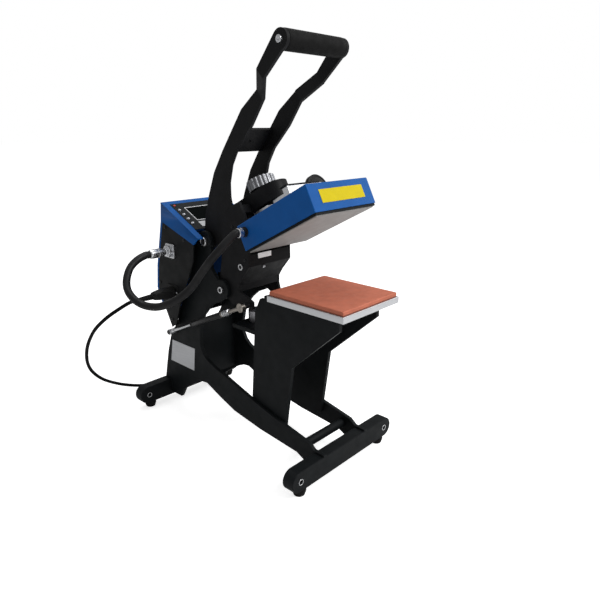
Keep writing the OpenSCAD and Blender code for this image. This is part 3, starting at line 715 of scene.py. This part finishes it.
# Mains inlet: a black moulded socket with a flange and two screws, below the conduit.
inlet_body = rounded_copy("inlet", "inlet_socket", 0.0008)
inlet_screws = joined("inlet_screws", [
    socket_screw("screw", (-0.0858, INLET[0] + dy, INLET[1]), (-1, 0, 0), 0.0022, 0.0012)
    for dy in (-0.0155, 0.0155)])
fitted(inlet_body, moulded_black, "frame", "black_plastic", "inlet_socket")
fitted(inlet_screws, bright_zinc, "frame", "bright_steel")


# Rating plate: a thin satin plate with four straight sides, stuck to the left side plate.
# It carries no print.
label_silver = new_finish("label_silver", (0.60, 0.61, 0.63), 0.36, metallic=0.25)
mottled(label_silver, 0.05, 70, stretch=(1, 1, 9))
rubbed(label_silver, 0.30, 0.44, 110, stretch=(1, 1, 9))
embossed(label_silver, 0.08, 0.0002, 800)
fitted(rounded_copy("rating_label", "rating_plate", 0.0003), label_silver,
       "frame", "panel_metal", "rating_plate")


# Lower platen: a machined aluminium plate with a silicone pad, on a folded black support.
# A round magnet on a shelf behind it holds the closed arm.
def machined(name, colour, roughness, stretch):
    finish = new_finish(name, colour, roughness, metallic=1.0)
    mottled(finish, 0.06, 90, stretch)
    rubbed(finish, roughness - 0.07, roughness + 0.09, 160, stretch=stretch)
    embossed(finish, 0.16, 0.00015, 420, stretch=stretch)
    return finish


milled = machined("milled_aluminium", (0.66, 0.67, 0.69), 0.34, (1, 14, 14))
silicone_red = new_finish("silicone_red", (0.52, 0.15, 0.085), 0.62, specular=0.35)
mottled(silicone_red, 0.08, 60)
rubbed(silicone_red, 0.54, 0.7, 90)
embossed(silicone_red, 0.3, 0.0003, 1300)
ground_steel = machined("ground_steel", (0.32, 0.32, 0.34), 0.36, (1, 1, 1))
fitted(rounded_copy("lower_platen_plate", "lower_platen", 0.0014, 3), milled,
       "frame", "aluminium", "lower_platen")
fitted(rounded_copy("silicone_sheet", "silicone_pad", 0.0022, 4), silicone_red,
       "frame", "silicone", "silicone_pad")
fitted(rounded_copy("platen_stand", "platen_support", 0.0010), frame_black,
       "frame", "black_steel", "platen_support")
fitted(rounded_copy("catch_magnet", "magnet", 0.0010), ground_steel,
       "frame", "magnet_steel", "magnet")


# Gas spring: a plated rod from a stud on the frame, a black painted cylinder, and a passivated
# end with bright rings and its eye on the arm's stud.
STUD = Vector((-0.077, 0.217, 0.186))
ARM_STUD = Vector((-0.077, -0.027, 0.298))
spring_way = (ARM_STUD - STUD).normalized()
CYLINDER_START = 0.089
CYLINDER_LENGTH = 0.114
SHAFT_RADIUS = 0.0030
SHAFT_END = 0.1420
END_RING_STARTS = (0.2090, 0.2150, 0.2210, 0.2270)
spring_black = new_finish("spring_black", (0.012, 0.012, 0.013), 0.34, specular=0.3)
mottled(spring_black, 0.15, 50)
rubbed(spring_black, 0.28, 0.42, 80)
embossed(spring_black, 0.1, 0.0002, 900)
passivated = new_finish("passivated", (0.30, 0.275, 0.245), 0.3, metallic=1.0)
mottled(passivated, 0.3, 160)
rubbed(passivated, 0.22, 0.40, 240)
embossed(passivated, 0.15, 0.0002, 700)

fitted(rounded_copy("spring_stud", "gas_frame_stud", 0.0006), dark_screw,
       "frame", "bright_steel", "gas_frame_stud")
spring_eye = turned_stack("eye", [(-0.0066, 0.0058), (-0.0060, 0.0064), (0.0060, 0.0064),
                                  (0.0066, 0.0058)], 36, STUD, (1, 0, 0))
spring_neck = turned_stack("neck", [(0.0040, 0.0046), (0.0150, 0.0046), (0.0165, 0.0038)], 36,
                           STUD, spring_way)
spring_shaft = turned_stack("shaft", [(0.0140, SHAFT_RADIUS), (SHAFT_END, SHAFT_RADIUS)], 36,
                            STUD, spring_way)
fitted(joined("spring_rod", [spring_eye, spring_neck, spring_shaft]), bright_zinc,
       "spring_rod", "bright_steel", "gas_rod")
CYLINDER_RINGS = [(0, 0.0036), (0, 0.0050), (0.0012, 0.0060), (0.0060, 0.0060), (0.0066, 0.0057),
                  (0.0076, 0.0057), (0.0082, 0.0060), (CYLINDER_LENGTH - 0.0020, 0.0060),
                  (CYLINDER_LENGTH, 0.0048)]
fitted(turned_stack("spring_cylinder", CYLINDER_RINGS, 40, STUD + spring_way * CYLINDER_START,
                    spring_way), spring_black, "spring_cylinder", "black_steel", "gas_cylinder")
end_rings = joined("end_rings", [
    turned_stack("ring", [(at, 0.0056), (at + 0.0003, 0.0062), (at + 0.0021, 0.0062),
                          (at + 0.0024, 0.0056)], 36, STUD, spring_way)
    for at in END_RING_STARTS])
fitted(end_rings, bright_zinc, "spring_cylinder", "brass_plate")
fitted(rounded_copy("spring_end", "gas_end", 0.0006, corner=40), passivated,
       "spring_cylinder", "brass_plate", "gas_end")


# Heating arm: two profile-cut plates on the arm's axle, joined by a block, a front panel and the
# toggle's lower pin. A black box tongue reaches forward over the head.
arm_black = powder_coat("arm_black", (0.0105, 0.0105, 0.0115))
ARM_PARTS = (("arm_plate_left", 0.0009), ("arm_plate_right", 0.0009), ("arm_block", 0.0008),
             ("arm_tongue", 0.0022), ("arm_front_panel", 0.0008))
for node, width in ARM_PARTS:
    fitted(rounded_copy(f"{node}_coated", node, width, 3), arm_black, "arm", "black_steel", node)

LINK_FOOT = (-0.006, 0.370)
ARM_OUTER = 0.0565
pin_parts = []
pin_dark_and_key_shade = [turned_stack("shaft", [(0, 0.006), (2 * ARM_OUTER, 0.006)], 36,
                         (-ARM_OUTER, *LINK_FOOT), (1, 0, 0))]
for side in (-1, 1):
    pin_parts.append(socket_screw("head", (side * (ARM_OUTER - 0.001), *LINK_FOOT),
                                  (side, 0, 0), 0.0064, 0.0030, key=0.66))
    # The dark disc in each key hole is painted shade.
    pin_dark_and_key_shade.append(key_hole_shade((side * (ARM_OUTER + 0.0002), *LINK_FOOT), (side, 0, 0), 0.0041))
fitted(joined("toggle_pin", pin_parts), bright_zinc, "arm", "bright_steel", "link_pin_lower")
fitted(joined("toggle_pin_shaft", pin_dark_and_key_shade), oiled_black, "arm", "black_steel")
arm_screws = joined("arm_screws", [
    socket_screw("screw", (side * (ARM_OUTER - 0.0004), y, z), (side, 0, 0), 0.0026, 0.0018)
    for side in (-1, 1) for y, z in ((0.0156, 0.4446), (-0.018, 0.385))])
fitted(arm_screws, dark_screw, "arm", "black_steel")
panel_screw = socket_screw("front_panel_screw", (-0.0150, -0.0245, 0.3690), (0, -0.77, -0.64),
                           0.0030, 0.0034, 0.5)
fitted(panel_screw, bright_zinc, "arm", "bright_steel")


# Arm label: a small plain white plate on the folded front panel. It carries no print.
# The label glows a little: painted light that makes it brighter than the lamps make it.
LABEL_PAINTED_LIGHT = 0.16
label_white_painted_light = new_finish("label_white_painted_light", (0.92, 0.92, 0.91), 0.5)
mottled(label_white_painted_light, 0.03, 90)
label_sockets = label_white_painted_light.node_tree.nodes["Principled BSDF"].inputs
label_sockets["Emission Color"].default_value = (1, 1, 1, 1)
label_sockets["Emission Strength"].default_value = LABEL_PAINTED_LIGHT
embossed(label_white_painted_light, 0.1, 0.0002, 900)
arm_label = slab("arm_label", (-0.032, -0.0298, 0.3868), (0.002, -0.0284, 0.3966), 0.0003)
fitted(arm_label, label_white_painted_light, "arm", "panel_metal")


# Toggle link: the short link that drives the arm from the handle, coated like the arm.
fitted(rounded_copy("toggle_link_coated", "toggle_link", 0.0012, corner=40), arm_black,
       "link", "black_steel", "toggle_link")


# Heating head: a folded blue steel cover, open below, round a coated aluminium platen.
# The head is drawn level and tilted back about the arm's axle to its open rest.
OPEN_ANGLE = 27.5
arm_axis = Vector((0, *ARM_PIVOT))


def tilted(piece):
    """Tilts a piece of the head, drawn level, to its open rest."""
    piece.data.transform(Matrix.Translation(arm_axis)
                         @ Matrix.Rotation(math.radians(-OPEN_ANGLE), 4, "X")
                         @ Matrix.Translation(-arm_axis))
    return piece


HEAD_HALF = 0.0805
HEAD_FRONT = -0.271
HEAD_REAR = -0.081
COVER_LOW = 0.357
COVER_TOP = 0.405
cover = slab("head_cover_shell", (-HEAD_HALF, HEAD_FRONT, COVER_LOW),
             (HEAD_HALF, HEAD_REAR, COVER_TOP))
bpy.ops.object.mode_set(mode="EDIT")
pick(cover, "FACE", lambda face: face.normal.z < -0.9)
bpy.ops.mesh.delete(type="ONLY_FACE")
pick(cover, "EDGE", lambda edge: not edge.is_boundary)
bpy.ops.mesh.bevel(offset=0.0022, segments=4)
bpy.ops.object.mode_set(mode="OBJECT")
wall = cover.modifiers.new("Wall", "SOLIDIFY")
wall.thickness = 0.002
wall.offset = -1
bpy.ops.object.modifier_apply(modifier="Wall")
softened(cover, 0.0004, 2, corner=60)
fitted(tilted(cover), box_blue, "arm", "blue_paint", "head_cover")

platen_grey = new_finish("platen_grey", (0.30, 0.295, 0.285), 0.46, metallic=0.15)
mottled(platen_grey, 0.07, 30)
rubbed(platen_grey, 0.38, 0.54, 60)
embossed(platen_grey, 0.2, 0.0002, 1000)
fitted(rounded_copy("heated_platen", "heating_platen", 0.0014, 3), platen_grey,
       "arm", "platen_coat", "heating_platen")
# A black rim round the platen's sides under the cover: painted shade for the platen's shaded sides.
SHADE_RIM_INSET = 0.0022
platen_shade_rim = slab(
    "platen_painted_shade_rim", (-HEAD_HALF + SHADE_RIM_INSET, HEAD_FRONT + SHADE_RIM_INSET, 0.3528),
    (HEAD_HALF - SHADE_RIM_INSET, HEAD_REAR - SHADE_RIM_INSET, 0.3620), 0.0004)
fitted(tilted(platen_shade_rim), frame_black, "arm", "black_steel")

plain_yellow = new_finish("plain_yellow", (0.64, 0.51, 0.004), 0.4, specular=0.1)
mottled(plain_yellow, 0.04, 70)
embossed(plain_yellow, 0.08, 0.0002, 600)
fitted(rounded_copy("yellow_plate", "front_plate", 0.0002, 1), plain_yellow,
       "arm", "yellow_plate", "front_plate")


# Terminal cover: a round moulded cover that stands on edge behind the cross bar. The head's cover
# cuts off its foot.
CAP_RINGS = [(0, 0.0262), (0.0008, 0.0270), (0.0092, 0.0270), (0.0100, 0.0263), (0.0102, 0.0236),
             (0.0094, 0.0230), (0.0094, 0.0212), (0.0104, 0.0206), (0.0116, 0.0160),
             (0.0120, 0.0090), (0.0120, 0.0040)]
CAP_CENTRE = (0.0535, -0.173, COVER_TOP + 0.0200)
cap = turned_stack("terminal_cap", CAP_RINGS, 64, CAP_CENTRE, (0, -1, 0))
cut_out(cap, [slab("below", (0.02, -0.20, COVER_TOP - 0.03), (0.09, -0.16, COVER_TOP))])
bpy.ops.object.shade_smooth_by_angle(angle=math.radians(32))
fitted(tilted(cap), moulded_black, "arm", "black_plastic", "thermal_cap")


# Hanger: an aluminium bar and web that carry the head under the tongue, with two flanged bolts
# through the cover and a thin dark sheet along the bar's top, which is painted shade.
block_aluminium = machined("block_aluminium", (0.80, 0.81, 0.83), 0.32, (14, 1, 14))
TONGUE_LOW = 0.429
fitted(rounded_copy("hanger", "hanger_block", 0.0010, 3), block_aluminium,
       "arm", "aluminium", "hanger_block")
HEAD_BOLT = (0.034, -0.139)
BOLT_FLANGE = [(0, 0.0112), (0.0022, 0.0112), (0.0028, 0.0104)]
head_bolts = []
for x in (-HEAD_BOLT[0], HEAD_BOLT[0]):
    head_bolts.append(hexagon(0.0088, 0.0100, (x, HEAD_BOLT[1], COVER_TOP + 0.0078), 0.0008))
    head_bolts.append(turned_stack("flange", BOLT_FLANGE, 40, (x, HEAD_BOLT[1], COVER_TOP),
                                   (0, 0, 1)))
fitted(tilted(joined("head_bolts", head_bolts)), bright_zinc, "arm", "bright_steel")
# The dark sheet is painted shade: a dark line along the bar's top where a shaded edge stands.
hanger_shade_sheet = slab("hanger_shade_sheet", (-0.0480, -0.2015, TONGUE_LOW + 0.0010),
                    (0.0400, -0.1840, TONGUE_LOW + 0.0030), 0.0004)
fitted(tilted(hanger_shade_sheet), arm_black, "arm", "black_steel")


# Hose fitting: a black grommet in the cover's left side, then a plated ferrule and nut round the
# hose's end.
HOSE_ENTRY = (-0.098, 0.388)
GROMMET_RINGS = [(0, 0.0094), (0.0016, 0.0094), (0.0022, 0.0084), (0.0074, 0.0080)]
FERRULE_RINGS = [(0.0070, 0.0074), (0.0100, 0.0082), (0.0106, 0.0088), (0.0168, 0.0088),
                 (0.0180, 0.0078)]
grommet = turned_stack("hose_grommet", GROMMET_RINGS, 40, (-HEAD_HALF, *HOSE_ENTRY), (-1, 0, 0))
fitted(tilted(grommet), moulded_black, "arm", "black_plastic")
ferrule = turned_stack("ferrule", FERRULE_RINGS, 40, (-HEAD_HALF, *HOSE_ENTRY), (-1, 0, 0))
fitting_nut = hexagon(0.0092, 0.0034, (-HEAD_HALF - 0.0092, *HOSE_ENTRY), 0.0007, tip=90)
fitted(tilted(joined("hose_ferrule", [ferrule, fitting_nut])), bright_zinc,
       "arm", "bright_steel", "hose_fitting")


# Pressure adjuster: a turned aluminium knob with flutes, on a screw through the tongue, and a nut
# block that travels on the screw between the tongue and the head.
knob_metal = machined("knob_metal", (0.27, 0.275, 0.29), 0.40, (1, 1, 1))
fitted(rounded_copy("pressure_knob_turned", "pressure_knob", 0.0007, 2, corner=35), knob_metal,
       "knob", "aluminium", "pressure_knob")
fitted(rounded_copy("pressure_nut_block", "pressure_block", 0.0012, 3), block_aluminium,
       "pressure_nut", "aluminium", "pressure_block")


# Handle: two cranked flat bars from the handle's axle up to a rubber grip, stiffened by a cross
# plate. The bars are powder coated, a shade lighter than the arm.
handle_black = powder_coat("handle_black", (0.0120, 0.0120, 0.0128))
for side in ("left", "right"):
    fitted(rounded_copy(f"handle_bar_{side}", f"handle_arm_{side}", 0.0012, 3), handle_black,
           "handle", "black_steel", f"handle_arm_{side}")
fitted(rounded_copy("cross_plate", "handle_cross_plate", 0.0007), handle_black,
       "handle", "black_steel", "handle_cross_plate")

GRIP = (-0.136, 0.754)
GRIP_HALF = 0.06875
GRIP_RADIUS = 0.0165
grip_rubber = new_finish("grip_rubber", (0.0080, 0.0080, 0.0080), 0.66, specular=0.08)
mottled(grip_rubber, 0.25, 70)
rubbed(grip_rubber, 0.56, 0.74, 60)
embossed(grip_rubber, 0.4, 0.0003, 900)
grip_rings = [(0, 0.0150), (0.0008, 0.0160)]
grip_rings += [(0.0022 + k * 0.01329, GRIP_RADIUS) for k in range(11)]
grip_rings += [(2 * GRIP_HALF - 0.0008, 0.0160), (2 * GRIP_HALF, 0.0150)]
fitted(turned_stack("grip_sleeve", grip_rings, 56, (-GRIP_HALF, *GRIP), (1, 0, 0)), grip_rubber,
       "handle", "rubber", "hand_grip")
GRIP_OUTER = 0.07525
fitted(joined("grip_bolts", [
    socket_screw("screw", (side * GRIP_OUTER, *GRIP), (side, 0, 0), 0.006, 0.0038)
    for side in (-1, 1)]), bright_zinc, "handle", "bright_steel", "grip_screws")


# Studio: a plain white floor that keeps the press's soft shadow, white all round, and three soft
# lamps at a plain level. Only the camera's rays see the full white.
def seen_or_lit(tree, seen, unseen):
    """Shows the camera's own rays one shader, and every other ray the other."""
    mix = tree.nodes.new("ShaderNodeMixShader")
    ray = tree.nodes.new("ShaderNodeLightPath")
    tree.links.new(ray.outputs["Is Camera Ray"], mix.inputs[0])
    tree.links.new(unseen.outputs[0], mix.inputs[1])
    tree.links.new(seen.outputs[0], mix.inputs[2])
    return mix.outputs[0]


def plain(tree, kind, socket, value):
    """A shader with one plain value."""
    shader = tree.nodes.new(kind)
    shader.inputs[socket].default_value = value
    return shader


FLOOR_GLOW = 0.70
FLOOR_SEEN = (0.86, 0.86, 0.86, 1)
FLOOR_BOUNCE = (0.78, 0.78, 0.78, 1)
SKY_LIGHT = 0.36
floor_white = bpy.data.materials.new("floor_white")
floor_white.use_nodes = True
floor_tree = floor_white.node_tree
floor_tree.nodes.clear()
floor_out = floor_tree.nodes.new("ShaderNodeOutputMaterial")
floor_sum = floor_tree.nodes.new("ShaderNodeAddShader")
floor_diffuse = plain(floor_tree, "ShaderNodeBsdfDiffuse", "Color", FLOOR_SEEN)
floor_glow = plain(floor_tree, "ShaderNodeEmission", "Strength", FLOOR_GLOW)
floor_tree.links.new(floor_diffuse.outputs[0], floor_sum.inputs[0])
floor_tree.links.new(floor_glow.outputs[0], floor_sum.inputs[1])
floor_bounce = plain(floor_tree, "ShaderNodeBsdfDiffuse", "Color", FLOOR_BOUNCE)
floor_tree.links.new(seen_or_lit(floor_tree, floor_sum, floor_bounce), floor_out.inputs["Surface"])
bpy.ops.mesh.primitive_plane_add(size=40, location=(0, 0, 0))
floor = bpy.context.object
floor.name = "studio_floor"
floor.data.materials.append(floor_white)

world = bpy.data.worlds.new("white_room")
bpy.context.scene.world = world
world.use_nodes = True
sky_tree = world.node_tree
sky_tree.nodes.clear()
sky_out = sky_tree.nodes.new("ShaderNodeOutputWorld")
sky_light = plain(sky_tree, "ShaderNodeBackground", "Strength", SKY_LIGHT)
sky_white = plain(sky_tree, "ShaderNodeBackground", "Strength", 1.0)
for background in (sky_light, sky_white):
    background.inputs["Color"].default_value = (1, 1, 1, 1)
sky_tree.links.new(seen_or_lit(sky_tree, sky_white, sky_light), sky_out.inputs["Surface"])

LAMPS = (("key_lamp", (0.7, -2.2, 2.2), 1.4, 52),
         ("fill_lamp", (2.4, -0.8, 1.4), 1.8, 12),
         ("top_lamp", (0.3, 0.5, 2.8), 1.8, 24))
LAMP_AIM = Vector((0, 0, 0.35))
for name, place, size, power in LAMPS:
    bpy.ops.object.light_add(type="AREA", location=place)
    lamp = bpy.context.object
    lamp.name = name
    lamp.data.size = size
    lamp.data.energy = power
    lamp.rotation_euler = (LAMP_AIM - Vector(place)).to_track_quat("-Z", "Y").to_euler()
bpy.context.scene.view_settings.view_transform = "Standard"
